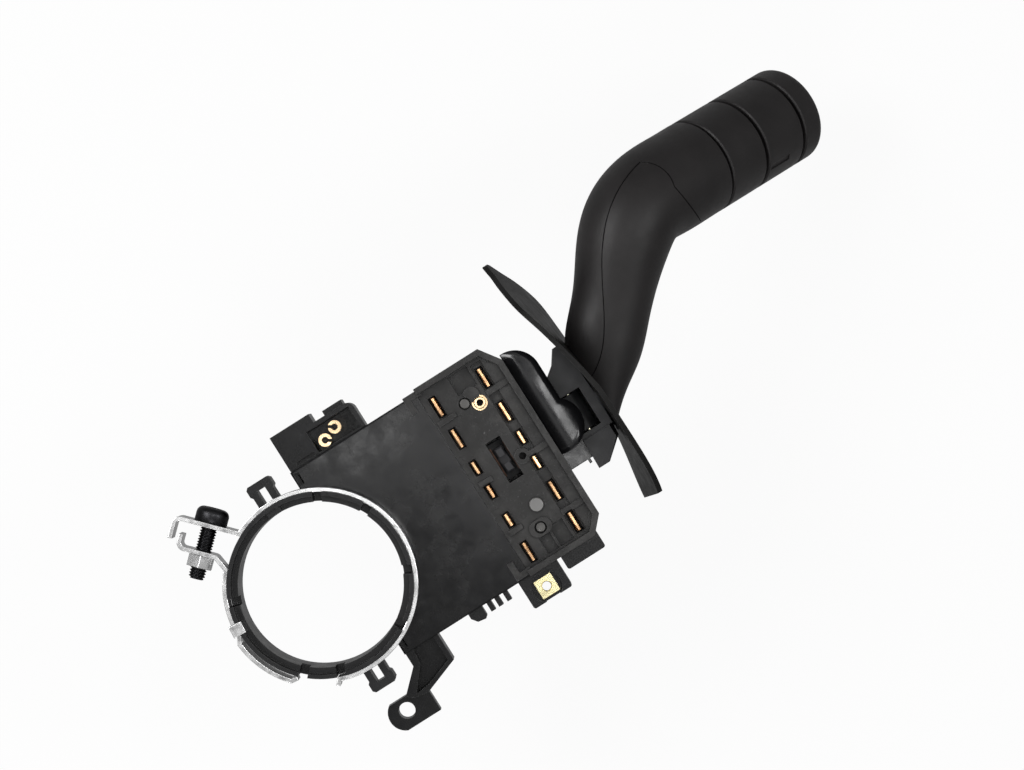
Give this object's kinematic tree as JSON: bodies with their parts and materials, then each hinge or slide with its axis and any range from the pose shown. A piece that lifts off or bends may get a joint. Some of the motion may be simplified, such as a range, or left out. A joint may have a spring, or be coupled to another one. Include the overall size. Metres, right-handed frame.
{
  "type": "combination stalk switch",
  "caption": "Steering-column stalk switch: clamp collar and switch box with terminal block, shroud plate and a bent lever with rotary and push sections at its tip.",
  "frame": {"origin": "on the axis of the column bore, 2 mm in front of the clamp sleeve's back end", "axes": "+Z along the steering column's axis towards the terminal side, +X from the collar towards the lever's tip, +Y towards the clamp ears' and connector's side"},
  "size_m": [0.2791, 0.1324, 0.098],
  "materials": {
    "sleeve_plastic": "satin moulding",
    "cover_plastic": "gloss",
    "board_plastic": "moulded",
    "lever_plastic": "fine matt grain",
    "bracket_plastic": "moulded",
    "strap_steel": "bright zinc plate",
    "black_steel": "black oxide",
    "zinc_steel": "yellow zinc plate",
    "spring_steel": "drawn wire",
    "copper": "copper strip",
    "brass": "pale brass",
    "rivet_metal": "dull",
    "tip_board_laminate": "laminate",
    "wire_sheath": "sheath"
  },
  "bodies": {
    "housing": {"column_sleeve": "sleeve_plastic", "clamp_band": "strap_steel", "clamp_band_tail": "strap_steel", "clamp_bolt": "black_steel", "clamp_nut": "strap_steel", "band_keeper": "strap_steel", "main_housing": "sleeve_plastic", "top_cover": "cover_plastic", "housing_screws": "zinc_steel", "square_nut": "zinc_steel", "connector_shell": "sleeve_plastic", "connector_contacts": "brass", "contact_board": "board_plastic", "terminal_block": "sleeve_plastic", "long_blades": "copper", "short_blades": "copper", "brass_eyelet": "brass", "block_rivet": "rivet_metal", "block_screws": "zinc_steel", "lever_hood": "sleeve_plastic", "pivot_pin": "zinc_steel", "detent_gate": "board_plastic", "finger_pin": "zinc_steel"},
    "swivel": {"swivel_carrier": "board_plastic", "detent_spring": "spring_steel"},
    "lever": {"lever_bracket": "bracket_plastic", "hinge_pin": "zinc_steel", "shroud_plate": "lever_plastic", "lever_body": "lever_plastic", "lever_inlay": "lever_plastic", "lever_harness": "wire_sheath", "tip_core": "board_plastic", "tip_board": "tip_board_laminate", "wiper_clip": "zinc_steel", "horn_contact": "copper", "washer_spring": "spring_steel", "horn_spring": "spring_steel"},
    "turn_switch": {"turn_slider": "board_plastic", "slider_bridges": "copper"},
    "beam_switch": {"beam_slider": "board_plastic", "beam_bridge": "copper"},
    "plunger": {"detent_plunger": "board_plastic"},
    "finger": {"cancel_finger": "board_plastic"},
    "washer": {"washer_sleeve": "lever_plastic"},
    "wiper": {"wiper_ring": "lever_plastic", "wiper_brushes": "copper"},
    "horn": {"end_cap": "lever_plastic"}
  },
  "joints": [
    {"name": "lever_turn", "type": "hinge", "parent": "housing", "child": "swivel", "pos_m": [0.0985, 0.0025, 0], "axis": [0, 0, 1], "range_deg": [-8, 8]},
    {"name": "lever_flash", "type": "hinge", "parent": "swivel", "child": "lever", "pos_m": [0.108, 0.0025, -0.008], "axis": [0, 1, 0], "range_deg": [-6, 6], "stiffness_Nm_per_rad": 8},
    {"name": "turn_contacts", "type": "slide", "parent": "housing", "child": "turn_switch", "axis": [0, 1, 0], "range_m": [-0.00285, 0.00285]},
    {"name": "beam_contacts", "type": "slide", "parent": "housing", "child": "beam_switch", "axis": [0, 0, 1], "range_m": [-0.0024, 0.0024]},
    {"name": "detent_press", "type": "slide", "parent": "swivel", "child": "plunger", "axis": [-1, 0, 0], "range_m": [0, 0.0012], "stiffness_N_per_m": 400, "deforming": ["detent_spring"]},
    {"name": "cancel_swing", "type": "hinge", "parent": "housing", "child": "finger", "pos_m": [0.052, 0.0025, -0.0185], "axis": [0, 0, 1], "range_deg": [-6, 6], "stiffness_Nm_per_rad": 0.01},
    {"name": "washer_press", "type": "slide", "parent": "lever", "child": "washer", "axis": [-0.8192, 0, 0.5736], "range_m": [0, 0.001], "stiffness_N_per_m": 500, "deforming": ["washer_spring"]},
    {"name": "wiper_turn", "type": "hinge", "parent": "lever", "child": "wiper", "pos_m": [0.1616, 0.0539, -0.008], "axis": [0.8192, 0, -0.5736], "range_deg": [0, 75]},
    {"name": "horn_press", "type": "slide", "parent": "lever", "child": "horn", "axis": [-0.8192, 0, 0.5736], "range_m": [0, 0.001], "stiffness_N_per_m": 600, "deforming": ["horn_spring"]}
  ],
  "couplings": [
    {"joint": "turn_contacts", "follows": "lever_turn", "m_per_rad": -0.02},
    {"joint": "beam_contacts", "follows": "lever_flash", "m_per_rad": 0.022}
  ]
}
